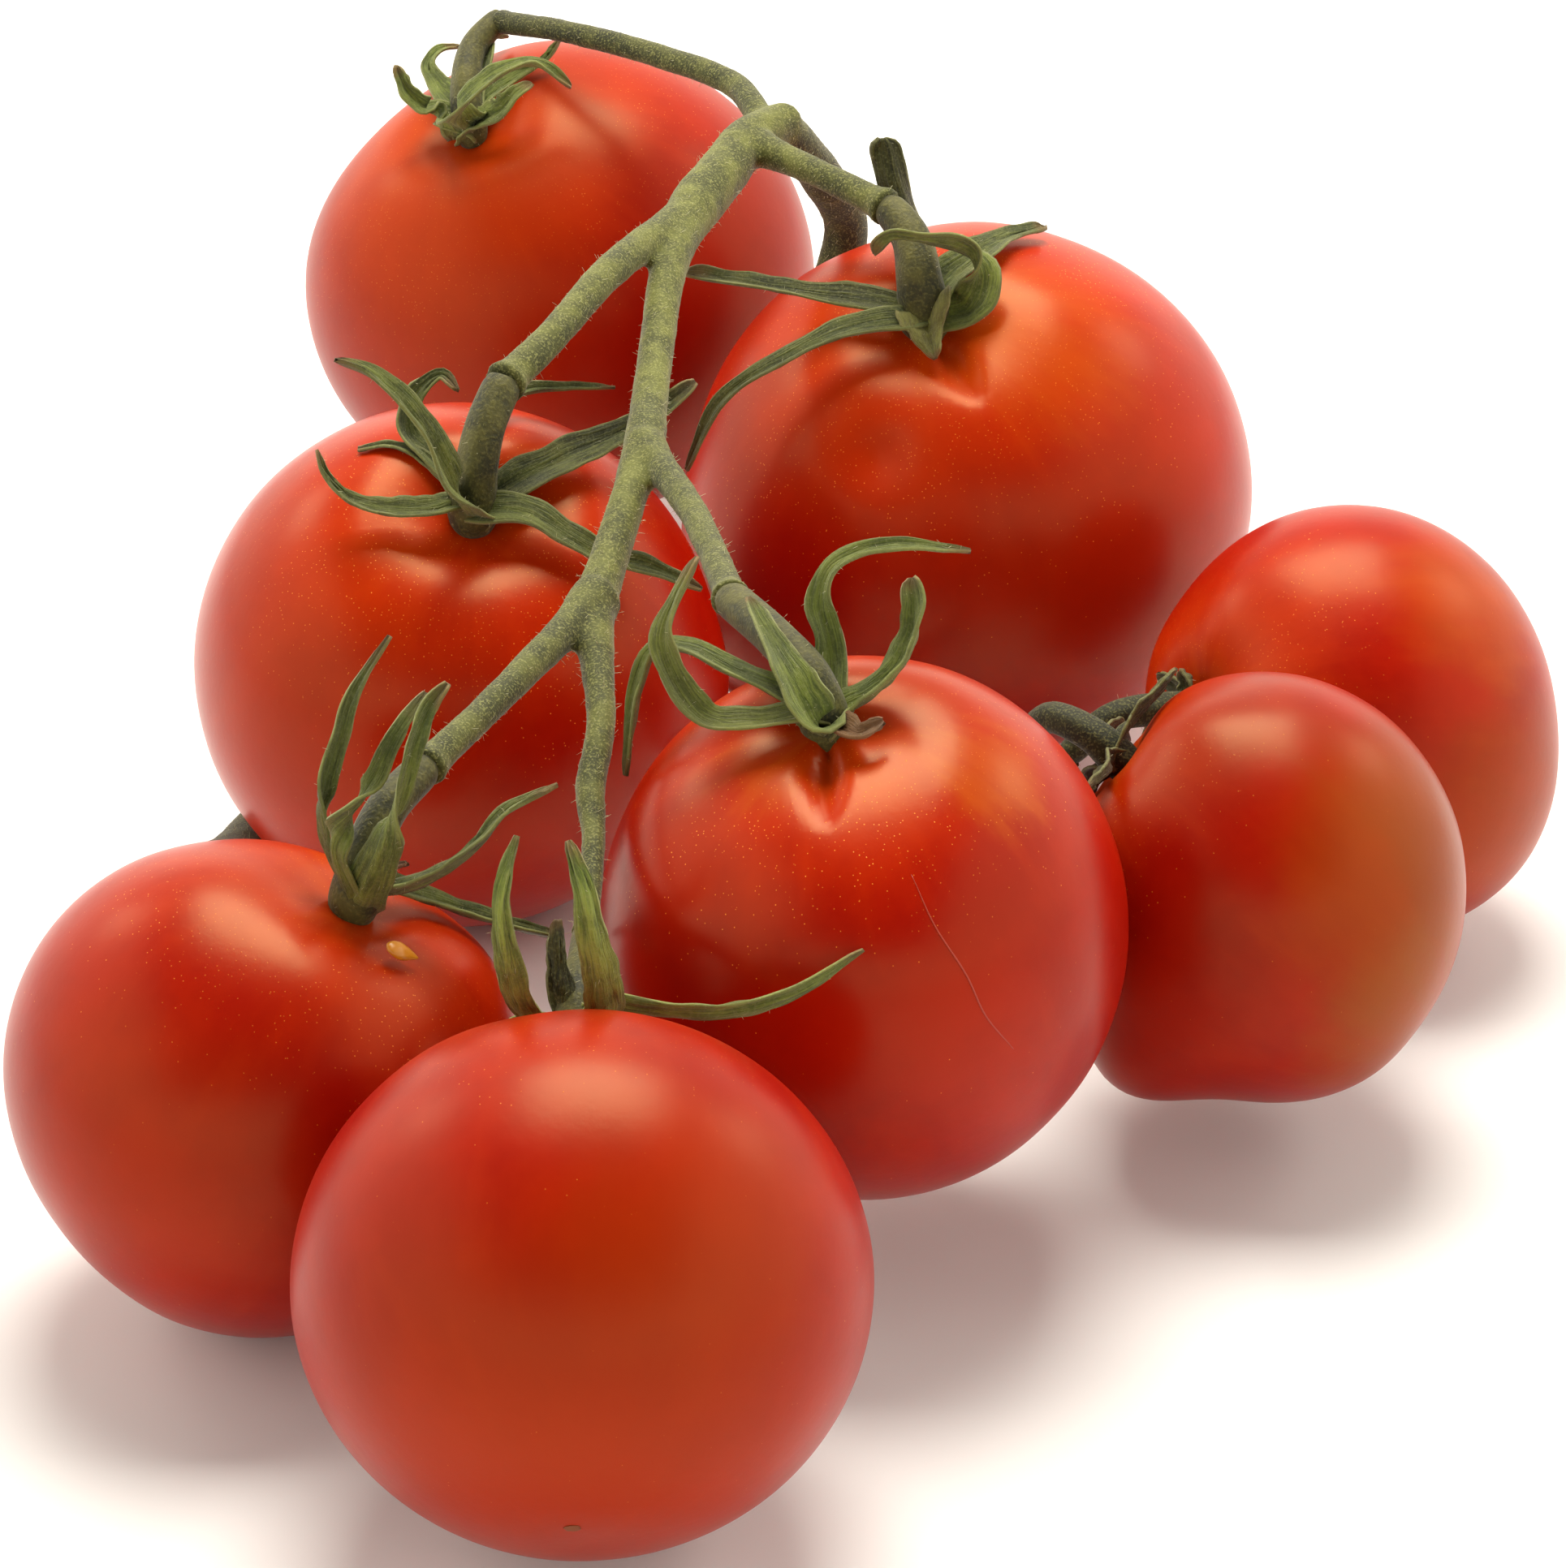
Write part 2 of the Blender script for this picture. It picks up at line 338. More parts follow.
def skin_radius(fruit, direction):
    """Radius of a fruit in millimetres along a direction from its centre."""
    up = direction.y * math.sin(LEAN) + direction.z * math.cos(LEAN)
    deep = -direction.y * math.cos(LEAN) + direction.z * math.sin(LEAN)
    wide, tall, thick = fruit["half"]
    whole = 1 / math.sqrt((direction.x / wide) ** 2 + (up / tall) ** 2 + (deep / thick) ** 2)
    axis = Vector(fruit["stalk"]).normalized()
    off = math.acos(clamp(direction.dot(axis)))
    side, front = across(axis)
    turn = math.atan2(direction.dot(front), direction.dot(side))
    lobed = fruit["lobe"] * math.cos(LOBES * turn + fruit["at"][0]) * bell(off - SHOULDER, SHOULDER_SPREAD)
    deep_dent, wide_dent, wider_front = fruit["dent"]
    wide_dent *= 1 - wider_front * math.sin(turn)
    sunk = deep_dent * bell(off, wide_dent) + BLOSSOM_DIP * bell(off - math.pi, BLOSSOM_SPREAD)
    swell = 0.0
    for angle, spread, amount in fruit["bulges"]:
        toward = math.cos(math.radians(angle)) * direction.x + math.sin(math.radians(angle)) * up
        swell += amount * bell(math.degrees(math.acos(clamp(toward))), spread)
    for angle, spread, depth, length in fruit["creases"]:
        aside = math.degrees(math.remainder(turn - math.radians(angle), math.tau))
        down = clamp((off - CREASE_START) / (length - CREASE_START), 0.0, 1.0)
        # A crease narrows and fades as it runs down.
        swell -= depth * bell(aside, spread * (1 - CREASE_CLOSES * down)) * (1 - down ** 2)
    if fruit["dimple"]:
        *toward, spread, depth = fruit["dimple"]
        away = math.degrees(math.acos(clamp(direction.dot(seen_way(*toward)))))
        swell -= depth * bell(away, spread)
    swell += SKIN_WAVE * noise.noise(direction * SKIN_WAVES + Vector(fruit["at"]) * SKIN_SHIFT)
    return whole * (1 + lobed - sunk) + swell


def seat(fruit):
    """Where the calyx sits, just over the dent in the skin."""
    axis = Vector(fruit["stalk"]).normalized()
    return Vector(fruit["at"]) + axis * skin_radius(fruit, axis) * fruit["rise"]


def clear(fruit, point, margin):
    """A leaf point moved out of the fruit's skin, when it would lie closer than the margin."""
    out = point - Vector(fruit["at"])
    far = out.length
    out.normalize()
    least = skin_radius(fruit, out) + margin
    return Vector(fruit["at"]) + out * least if far < least else point


def smooth_route(points, count):
    """Evenly spaced samples of a centripetal Catmull-Rom curve through points of three or four numbers."""
    points = [Vector(p) for p in points]
    first = points[0] * 2 - points[1]
    last = points[-1] * 2 - points[-2]
    chain = [first, *points, last]
    fine = []
    for a, b, c, d in zip(chain, chain[1:], chain[2:], chain[3:]):
        t1 = (b - a).length ** 0.5
        t2 = t1 + (c - b).length ** 0.5
        t3 = t2 + (d - c).length ** 0.5
        for k in range(FINE_STEPS):
            t = t1 + (t2 - t1) * k / FINE_STEPS
            ab = a * (1 - t / t1) + b * (t / t1)
            bc = b * ((t2 - t) / (t2 - t1)) + c * ((t - t1) / (t2 - t1))
            cd = c * ((t3 - t) / (t3 - t2)) + d * ((t - t2) / (t3 - t2))
            abc = ab * ((t2 - t) / t2) + bc * (t / t2)
            bcd = bc * ((t3 - t) / (t3 - t1)) + cd * ((t - t1) / (t3 - t1))
            fine.append(abc * ((t2 - t) / (t2 - t1)) + bcd * ((t - t1) / (t2 - t1)))
    fine.append(points[-1])
    lengths = [0.0]
    for p, q in zip(fine, fine[1:]):
        lengths.append(lengths[-1] + (q - p).length)
    samples = []
    k = 0
    for i in range(count):
        want = lengths[-1] * i / (count - 1)
        while k < len(lengths) - 2 and lengths[k + 1] < want:
            k += 1
        share = (want - lengths[k]) / max(lengths[k + 1] - lengths[k], 1e-9)
        samples.append(fine[k].lerp(fine[k + 1], clamp(share, 0.0, 1.0)))
    return samples


def directions(samples):
    """The way along the route at each sample."""
    ahead = samples[1:] + [samples[-1] * 2 - samples[-2]]
    behind = [samples[0] * 2 - samples[1]] + samples[:-1]
    return [(a - b).normalized() for a, b in zip(ahead, behind)]


def new_piece(name, bm, *materials):
    """A smooth-shaded object from a bmesh in millimetres."""
    bmesh.ops.scale(bm, vec=(MM, MM, MM), verts=bm.verts)
    mesh = bpy.data.meshes.new(name)
    bm.to_mesh(mesh)
    bm.free()
    mesh.shade_smooth()
    for material in materials:
        mesh.materials.append(material)
    piece = bpy.data.objects.new(name, mesh)
    bpy.context.scene.collection.objects.link(piece)
    return piece


# Fruits


def fruit_piece(number, fruit, material):
    """One fruit: a fine ball drawn out to the skin's radius in every direction."""
    bm = bmesh.new()
    bmesh.ops.create_icosphere(bm, subdivisions=6, radius=1.0)
    centre = Vector(fruit["at"])
    for vert in bm.verts:
        direction = vert.co.normalized()
        vert.co = centre + direction * skin_radius(fruit, direction)
        # The table presses a flat spot.
        vert.co.z = max(vert.co.z, 0.0)
    return new_piece(f"fruit_{number}", bm, material)


# Stalks


def tube(bm, route, swells=(0.0, 0.0), reach=(5.0, 1.4), ribs=0.0, sides=20, spacing=0.7):
    """Rings along a route with radii, bridged into a closed tube, wider near its ends by the swells."""
    rough = smooth_route(route, ROUGH_COUNT)
    length = sum((b - a).length for a, b in zip(rough, rough[1:]))
    count = max(FEWEST_RINGS, int(length / spacing))
    rounds = smooth_route(route, count)
    samples = [spot.xyz for spot in rounds]
    turned = Vector(SKEW_WAY)
    last_rim = None
    for i, (spot, way) in enumerate(zip(samples, directions(samples))):
        part = i / (count - 1)
        swell = swells[0] * bell(part * length, reach[0]) + swells[1] * bell((1 - part) * length, reach[1])
        side = way.cross(turned).normalized()
        turned = side.cross(way).normalized()
        basis = Matrix((side, turned, way)).transposed().to_4x4()
        basis.translation = spot
        ring = bmesh.ops.create_circle(bm, segments=sides, radius=rounds[i].w * (1 + swell), matrix=basis,
                                       cap_ends=i in (0, count - 1))["verts"]
        for k, vert in enumerate(ring):
            ridge = 1 + ribs * math.cos(k * RIBS_ROUND * math.tau / sides) * math.sin(math.pi * part)
            vert.co = spot + (vert.co - spot) * ridge
        rim = list(dict.fromkeys(edge for vert in ring for edge in vert.link_edges))
        if last_rim:
            bmesh.ops.bridge_loops(bm, edges=last_rim + rim)
        last_rim = rim
    return samples


def applied(piece):
    """Makes a piece's modifiers part of its mesh."""
    shown = piece.evaluated_get(bpy.context.evaluated_depsgraph_get())
    mesh = bpy.data.meshes.new_from_object(shown)
    old = piece.data
    piece.modifiers.clear()
    piece.data = mesh
    bpy.data.meshes.remove(old)


def stem_piece(material):
    """The forked stem: overlapping tubes fused into one skin, smoothed where they branch."""
    bm = bmesh.new()
    tones = []
    for (tone, last_tone), swells, *route in STEMS:
        samples = tube(bm, route, swells)
        for i, spot in enumerate(samples):
            tones.append((spot, tone + (last_tone - tone) * i / len(samples)))
    bmesh.ops.recalc_face_normals(bm, faces=bm.faces)
    piece = new_piece("forked_stem", bm, material)
    wrap = piece.modifiers.new("fuse", "REMESH")
    wrap.mode = "VOXEL"
    wrap.voxel_size = STEM_VOXEL * MM
    bpy.context.view_layer.update()
    applied(piece)

    near = kdtree.KDTree(len(tones))
    for i, (spot, tone) in enumerate(tones):
        near.insert(spot * MM, i)
    near.balance()
    bm = bmesh.new()
    bm.from_mesh(piece.data)
    for _ in range(STEM_SMOOTHINGS):
        bmesh.ops.smooth_vert(bm, verts=bm.verts, factor=0.5,
                              use_axis_x=True, use_axis_y=True, use_axis_z=True)
    bm.normal_update()
    tone_layer = bm.verts.layers.float.new("tone")
    for vert in bm.verts:
        spot = vert.co / MM
        found = near.find_n(vert.co, TONE_SPOTS)
        vert[tone_layer] = sum(tones[i][1] for _, i, _ in found) / len(found)
        rough = sum(noise.noise(spot * often) * high for often, high in STEM_LUMPS)
        vert.co += vert.normal * rough * MM
    bm.to_mesh(piece.data)
    bm.free()
    piece.data.shade_smooth()
    piece.data.materials.clear()
    piece.data.materials.append(material)
    return piece


# Sepals


def blade_share(part, taper):
    """Width of a sepal along its length, as a share of its widest: it tapers to a round tip."""
    end = max(0.0, (part - END_FROM) / END_LONG)
    return (1 - taper * part ** TAPER_CURVE) * math.sqrt(1 - END_ROUND * end ** 2)


def sepal(bm, route, width, axis, look, draw, sides=12, steps=44):
    """A thin blade along a route: a grid bent into place, rolled, wrinkled, and given a thickness."""
    layers = {name: bm.verts.layers.float[name] for name in LEAF_LAYERS}
    grid = bmesh.ops.create_grid(bm, x_segments=sides, y_segments=steps, size=0.5)["verts"]
    samples = smooth_route(route, steps + 1)
    ways = directions(samples)
    phase = draw.uniform(0, math.tau)
    seed = Vector((draw.uniform(0, 50), draw.uniform(0, 50), 0))
    roll_root, roll_tip = look.get("roll", (draw.uniform(*ROOT_ROLL), draw.uniform(*TIP_ROLL)))
    turn_root, turn_tip = look.get("turn", (0, draw.uniform(*TIP_TURN)))
    for vert in grid:
        sideways = vert.co.x * 2
        part = vert.co.y + 0.5
        k = min(int(round(part * steps)), steps)
        wing = ways[k].cross(axis).normalized()
        top = wing.cross(ways[k]).normalized()
        twist = Matrix.Rotation(math.radians(turn_root + (turn_tip - turn_root) * part), 3, ways[k])
        wing, top = twist @ wing, twist @ top
        half = max(width / 2 * blade_share(part, look["taper"]), BLADE_NARROWEST / 2)
        edge = noise.noise(Vector((part * EDGE_WAVES, math.copysign(3, sideways), 0)) + seed)
        half *= 1 + look["ragged"] * edge
        bend = math.radians(roll_root + (roll_tip - roll_root) * part) / 2
        aside = half * math.sin(bend * sideways) / bend
        lift = half * (1 - math.cos(bend * sideways)) / bend
        lift += look["fold"] * half * (1 - bell(sideways, MIDRIB))
        lift += RIPPLE * half * math.sin(part * RIPPLES + phase) * sideways
        wrinkle = sum(strong * noise.noise(Vector((sideways * wide, part * long, which)) + seed)
                      for wide, long, which, strong in WRINKLES)
        lift += WRINKLE * wrinkle * min(1, half)
        vert.co = samples[k] + wing * aside + top * lift
        vert[layers["across"]] = sideways
        vert[layers["along"]] = part if look["brown_end"] else min(part, GREEN_END)
        vert[layers["tone"]] = look["tone"] + TONE_WRINKLE * wrinkle
        vert[layers["dry"]] = look["dry"]
    faces = list(dict.fromkeys(face for vert in grid for face in vert.link_faces))
    bmesh.ops.recalc_face_normals(bm, faces=faces)
    bmesh.ops.solidify(bm, geom=faces, thickness=BLADE_THICK)


def calyx_pieces(number, fruit, leaf, stalk):
    """The sepals of a fruit as one piece, and the stalk that runs down into them as another."""
    draw = random.Random(SEPAL_SEED + number)
    axis = Vector(fruit["stalk"]).normalized()
    root = seat(fruit)
    bm = bmesh.new()
    for name in LEAF_LAYERS:
        bm.verts.layers.float.new(name)
    sunk = root - axis * CALYX_SUNK
    for i, (width, *offsets) in enumerate(SEPALS[number]):
        look = {**USUAL_SEPAL, "tone": CALYX_TONE[number], **SEPAL_LOOKS.get((number, i), {})}
        route = [sunk] + [clear(fruit, root + Vector(offset), SEPAL_MARGIN) for offset in offsets]
        sepal(bm, route, width * look["slim"], axis, look, draw)
    # Solidify leaves the faces in no fixed order, and the hairs are drawn in that order.
    bm.faces.sort(key=lambda face: face.calc_center_median().dot(SKEW_WAY))
    leaves = new_piece(f"sepals_{number}", bm, leaf)

    bm = bmesh.new()
    first, second, third = (Vector(spot) for spot in LOWER_STALKS[number])
    start = first + (first - second).normalized() * KNUCKLE_REACH
    crown = (root - axis * CROWN_DEEP).to_4d()
    crown.w = third.w * CROWN_WIDER
    foot_end = (root - axis * FOOT_DEEP).to_4d()
    foot_end.w = FOOT_RADIUS
    tube(bm, [start, first, second, third, crown, foot_end], swells=(WAIST, 0.0), reach=(WAIST_REACH, 1.0),
         ribs=STALK_RIBS, spacing=STALK_SPACING)
    bmesh.ops.recalc_face_normals(bm, faces=bm.faces)
    foot = new_piece(f"lower_stalk_{number}", bm, stalk)
    return leaves, foot


# Down: short pale hairs


def down_piece(name, carriers, count, longest, draw, material):
    """Short leaning hairs on the skin of other pieces."""
    spots = []
    for carrier in carriers:
        mesh = carrier.data
        spots += [(face.center.copy(), face.normal.copy(), face.area) for face in mesh.polygons]
    chosen = draw.choices(spots, weights=[area for _, _, area in spots], k=count)
    bm = bmesh.new()
    for spot, normal, _ in chosen:
        lean = Vector((draw.uniform(-1, 1), draw.uniform(-1, 1), draw.uniform(-1, 1))) * HAIR_LEAN
        way = (normal + lean).normalized()
        if way.dot(normal) < HAIR_UPRIGHT:
            way = normal
        tall = longest * draw.uniform(SHORTEST_HAIR, 1.0) ** SHORT_HAIRS
        turn = way.to_track_quat("Z", "Y").to_matrix().to_4x4()
        turn.translation = spot / MM + way * (tall / 2 - HAIR_ROOT)
        bmesh.ops.create_cone(bm, cap_ends=True, segments=3, radius1=HAIR_RADIUS,
                              radius2=HAIR_RADIUS * HAIR_TIP, depth=tall, matrix=turn)
    return new_piece(name, bm, material)


def scratch_piece(material):
    """The healed scratch on the fourth fruit, a thin ridge along its skin."""
    bm = bmesh.new()
    fruit = FRUITS[4]
    centre = Vector(fruit["at"])
    route = []
    for i, spot in enumerate(smooth_route(SCRATCH, SCRATCH_SPOTS)):
        way = (spot - centre).normalized()
        middle = math.sin(math.pi * i / (SCRATCH_SPOTS - 1))
        thin = SCRATCH_RADIUS * (SCRATCH_THIN + (1 - SCRATCH_THIN) * middle)
        route.append((*(centre + way * skin_radius(fruit, way)), thin))
    tube(bm, route, sides=8)
    bmesh.ops.recalc_face_normals(bm, faces=bm.faces)
    return new_piece("healed_scratch", bm, material)


def blossom_scars_piece(material):
    """The small dry scar at the blossom end of every fruit."""
    bm = bmesh.new()
    for fruit in FRUITS.values():
        way = Vector(fruit["scar"]) if fruit["scar"] else -Vector(fruit["stalk"])
        way.normalize()
        spot = Vector(fruit["at"]) + way * (skin_radius(fruit, way) + SCAR_OUT)
        spot.z = max(spot.z, SCAR_LOWEST)
        pose = way.to_track_quat("Z", "Y").to_matrix().to_4x4()
        pose.translation = spot
        scar = bmesh.ops.create_icosphere(bm, subdivisions=3, radius=1.0)["verts"]
        for vert in scar:
            vert.co.xy *= 1 + SCAR_UNEVEN * noise.noise(vert.co * 1.7 + spot)
        bmesh.ops.scale(bm, vec=SCAR_HALF, verts=scar)
        bmesh.ops.transform(bm, matrix=pose, verts=scar)
    return new_piece("blossom_scars", bm, material)


def seed_piece(material):
    """A stray seed stuck to the skin of the fifth fruit."""
    bm = bmesh.new()
    bmesh.ops.create_icosphere(bm, subdivisions=4, radius=1.0)
    for vert in bm.verts:
        vert.co.x += SEED_DRAWN * max(vert.co.x, 0) ** 2
        taper = 1 - SEED_THINNED * max(vert.co.x, 0)
        vert.co.y *= taper
        vert.co.z *= taper
        vert.co += vert.normal * SEED_LUMPS * noise.noise(vert.co * 2.5)
    bmesh.ops.scale(bm, vec=SEED_HALF, verts=bm.verts)
    normal = Vector(SEED_OUT).normalized()
    along = (Vector(SEED_POINT) - Vector(SEED_AT)).normalized()
    beside = normal.cross(along).normalized()
    along = beside.cross(normal).normalized()
    pose = Matrix((along, beside, normal)).transposed().to_4x4()
    pose.translation = Vector(SEED_AT) + normal * SEED_LIFT
    bmesh.ops.transform(bm, matrix=pose, verts=bm.verts)
    return new_piece("stray_seed", bm, material)


# Materials


class Nodes:
    """A node tree, with short calls that add and link nodes."""

    def __init__(self, tree):
        self.tree = tree

    def add(self, kind, values=None, **settings):
        """A node with its settings made, then its sockets set or linked."""
        node = self.tree.nodes.new(kind)
        for key, value in settings.items():
            setattr(node, key, value)
        for key, value in (values or {}).items():
            self.feed(node.inputs[key], value)
        return node

    def feed(self, socket, value):
        if isinstance(value, bpy.types.NodeSocket):
            self.tree.links.new(value, socket)
        else:
            socket.default_value = value

    def maths(self, operation, a, b=0.0):
        return self.add("ShaderNodeMath", {0: a, 1: b}, operation=operation).outputs[0]

    def vector(self, operation, a, b=(0, 0, 0)):
        node = self.add("ShaderNodeVectorMath", {0: a, 1: b}, operation=operation)
        return node.outputs["Value"] if operation in ("DOT_PRODUCT", "LENGTH") else node.outputs[0]

    def ramp(self, value, low, high, to_low=0.0, to_high=1.0):
        """A soft step between two values."""
        values = {0: value, 1: low, 2: high, 3: to_low, 4: to_high}
        return self.add("ShaderNodeMapRange", values, interpolation_type="SMOOTHSTEP").outputs[0]

    def mix(self, share, a, b):
        node = self.add("ShaderNodeMix", data_type="RGBA")
        self.feed(node.inputs[0], share)
        self.feed(node.inputs[6], a)
        self.feed(node.inputs[7], b)
        return node.outputs[2]

    def noise(self, where, scale, detail=3.0, roughness=0.55):
        values = {"Vector": where, "Scale": scale, "Detail": detail, "Roughness": roughness}
        return self.add("ShaderNodeTexNoise", values).outputs["Fac"]

    def attribute(self, name):
        return self.add("ShaderNodeAttribute", attribute_name=name).outputs["Fac"]

    def spot(self):
        return self.add("ShaderNodeTexCoord").outputs["Object"]

    def placed(self, group, place, **values):
        """A node group at a place, with its numbers."""
        return self.add("ShaderNodeGroup", {"Place": place, **values}, node_tree=group)

    def finish(self, surface, body, height, strength, distance):
        """Gives a surface its colour and its fine relief."""
        bump = self.add("ShaderNodeBump", {"Height": height, "Strength": strength, "Distance": distance})
        self.feed(surface.inputs["Base Color"], body)
        self.feed(surface.inputs["Normal"], bump.outputs[0])


def new_material(name, **values):
    """A material, its nodes, and its surface shader with constant values set."""
    material = bpy.data.materials.new(name)
    material.use_nodes = True
    surface = material.node_tree.nodes["Principled BSDF"]
    for key, value in values.items():
        surface.inputs[key.replace("_", " ")].default_value = value
    return material, Nodes(material.node_tree), surface


def new_group(name, inputs, outputs):
    """An empty node group with named sockets."""
    group = bpy.data.node_groups.new(name, "ShaderNodeTree")
    for title, kind in inputs.items():
        group.interface.new_socket(title, in_out="INPUT", socket_type=kind)
    for title, kind in outputs.items():
        group.interface.new_socket(title, in_out="OUTPUT", socket_type=kind)
    n = Nodes(group)
    return group, n, n.add("NodeGroupInput").outputs, n.add("NodeGroupOutput").inputs


def colour(red, green, blue):
    """A linear colour from the 0 to 255 values of a screen."""
    def linear(value):
        share = value / 255
        return share / 12.92 if share <= 0.04045 else ((share + 0.055) / 1.055) ** 2.4
    return (linear(red), linear(green), linear(blue), 1.0)


def ripe_skin_group():
    """Ripe tomato skin: meridian streaks, a warmer shoulder, mottling and fine golden specks."""
    number, vector, shade = "NodeSocketFloat", "NodeSocketVector", "NodeSocketColor"
    group, n, given, result = new_group(
        "ripe_skin",
        {"Place": vector, "Light": number, "Shoulder": number, "Specks": number},
        {"Colour": shade, "Height": number, "Streaks": number})
    place = given["Place"]
    unit = n.vector("NORMALIZE", place)
    parts = n.add("ShaderNodeSeparateXYZ", {0: unit}).outputs
    flat = n.add("ShaderNodeCombineXYZ", {0: parts["X"], 1: parts["Y"]}).outputs[0]
    lifted = n.add("ShaderNodeCombineXYZ", {2: n.maths("MULTIPLY", parts["Z"], 0.35)}).outputs[0]
    streaks = n.noise(n.vector("ADD", n.vector("NORMALIZE", flat), lifted), 4.5, 4.0)
    clouds = n.noise(place, 55.0, 4.0, 0.6)
    body = n.mix(n.ramp(clouds, 0.32, 0.7), colour(124, 4, 0), colour(138, 13, 0))
    streaky = n.maths("MULTIPLY", n.maths("SUBTRACT", streaks, 0.5), 0.22)
    patchy = n.maths("MULTIPLY", n.maths("SUBTRACT", clouds, 0.5), 0.5)
    near = n.maths("ADD", n.maths("ADD", parts["Z"], streaky), patchy)
    shoulder = n.maths("MULTIPLY", n.ramp(near, 0.45, 1.05), given["Shoulder"])
    body = n.mix(shoulder, body, colour(158, 42, 1))
    body = n.mix(n.maths("MULTIPLY", n.ramp(near, 0.85, 1.2), given["Shoulder"]), body, colour(172, 72, 5))
    body = n.mix(n.ramp(streaks, 0.5, 0.75, 0.0, 0.25), body, colour(150, 30, 1))
    cells = n.add("ShaderNodeTexVoronoi", {"Vector": place, "Scale": 2000.0}).outputs
    dot = n.ramp(cells["Distance"], 0.06, 0.19, 1.0, 0.0)
    pick = n.add("ShaderNodeSeparateColor", {0: cells["Color"]}).outputs[0]
    crowded = n.ramp(parts["Z"], 0.25, 0.95, 0.96, 0.12)
    kept = n.ramp(n.maths("SUBTRACT", pick, crowded), 0.0, 0.04)
    thick = n.ramp(clouds, 0.38, 0.6, 0.4, 1.0)
    speck = n.maths("MULTIPLY", n.maths("MULTIPLY", dot, kept), thick)
    body = n.mix(n.maths("MULTIPLY", speck, given["Specks"]), body, colour(216, 136, 50))
    body = n.vector("SCALE", body)
    n.feed(body.node.inputs["Scale"], given["Light"])
    n.feed(result["Colour"], body)
    n.feed(result["Streaks"], streaks)
    grain = n.noise(place, 900.0, 2.0)
    relief = n.maths("ADD", n.maths("MULTIPLY", grain, 0.5), n.maths("MULTIPLY", speck, 0.5))
    n.feed(result["Height"], relief)
    return group


def skin_material(number, fruit, group):
    """The ripe skin of one fruit, with its own patches as seen in the photograph."""
    material, n, surface = new_material(
        f"tomato_skin_{number}", Roughness=fruit["gloss"], IOR=1.34, Specular_Tint=(1.0, 0.82, 0.42, 1.0),
        Subsurface_Weight=0.12, Subsurface_Radius=(1.0, 0.22, 0.05), Subsurface_Scale=0.003)
    spot = n.spot()
    centre = Vector(fruit["at"]) * MM
    turn = Vector(fruit["stalk"]).to_track_quat("Z", "Y").to_euler()
    place = n.add("ShaderNodeMapping", {"Vector": spot, "Location": centre, "Rotation": turn},
                  vector_type="TEXTURE").outputs[0]
    skin = n.placed(group, place, Light=fruit["light"], Shoulder=fruit["shoulder"], Specks=fruit["specks"])
    body = skin.outputs["Colour"]
    unit = n.vector("NORMALIZE", n.vector("SUBTRACT", spot, centre))
    wisps = n.noise(place, 140.0, 4.0, 0.6)
    for *toward, spread, strength, tint in fruit["patches"]:
        nearness = n.vector("DOT_PRODUCT", unit, seen_way(*toward))
        streaky = n.maths("MULTIPLY", skin.outputs["Streaks"], 0.14)
        wander = n.maths("ADD", n.maths("MULTIPLY", wisps, 0.1), streaky)
        ragged = n.maths("SUBTRACT", n.maths("ADD", nearness, wander), 0.12)
        edge = math.cos(math.radians(spread * 1.9))
        body = n.mix(n.ramp(ragged, edge, 1.02, 0.0, strength), body, colour(*TINTS[tint]))
    n.finish(surface, body, skin.outputs["Height"], 0.3, 0.0001)
    return material


def downy_group():
    """Fine down on green parts: pale stipple over a coarser grain."""
    number, vector = "NodeSocketFloat", "NodeSocketVector"
    group, n, given, result = new_group(
        "downy_green",
        {"Place": vector, "Scale": number},
        {"Pale": number, "Patches": number, "Height": number})
    fine = n.add("ShaderNodeTexNoise", {"Vector": given["Place"], "Scale": given["Scale"], "Detail": 3.0})
    coarse = n.noise(given["Place"], 230.0, 4.0, 0.6)
    n.feed(result["Pale"], n.ramp(fine.outputs["Fac"], 0.48, 0.68))
    n.feed(result["Patches"], coarse)
    n.feed(result["Height"], n.maths("ADD", fine.outputs["Fac"], coarse))
    return group


def stem_material(group):
    """The downy stem, from dark where the tone is low to light where it is high."""
    material, n, surface = new_material(
        "stem_green", Roughness=0.7, IOR=1.4, Sheen_Weight=0.2, Sheen_Roughness=0.4)
    down = n.placed(group, n.spot(), Scale=3600.0)
    tone = n.attribute("tone")
    dark = n.mix(tone, colour(24, 27, 9), colour(58, 62, 22))
    light = n.mix(tone, colour(48, 49, 18), colour(96, 100, 43))
    body = n.mix(n.ramp(down.outputs["Patches"], 0.38, 0.64), dark, light)
    share = n.ramp(tone, -0.4, 0.6, 0.15, 0.55)
    body = n.mix(n.maths("MULTIPLY", down.outputs["Pale"], share), body, colour(148, 149, 90))
    n.finish(surface, body, down.outputs["Height"], 0.45, 0.0002)
    return material


def lower_stalk_material(group):
    """The browner stalks below the knuckles."""
    material, n, surface = new_material("lower_stalk_green", Roughness=0.62, IOR=1.4, Sheen_Weight=0.12)
    down = n.placed(group, n.spot(), Scale=2600.0)
    body = n.mix(n.ramp(down.outputs["Patches"], 0.35, 0.66), colour(32, 34, 10), colour(78, 76, 30))
    body = n.mix(n.maths("MULTIPLY", down.outputs["Pale"], 0.28), body, colour(128, 124, 64))
    n.finish(surface, body, down.outputs["Height"], 0.5, 0.00025)
    return material


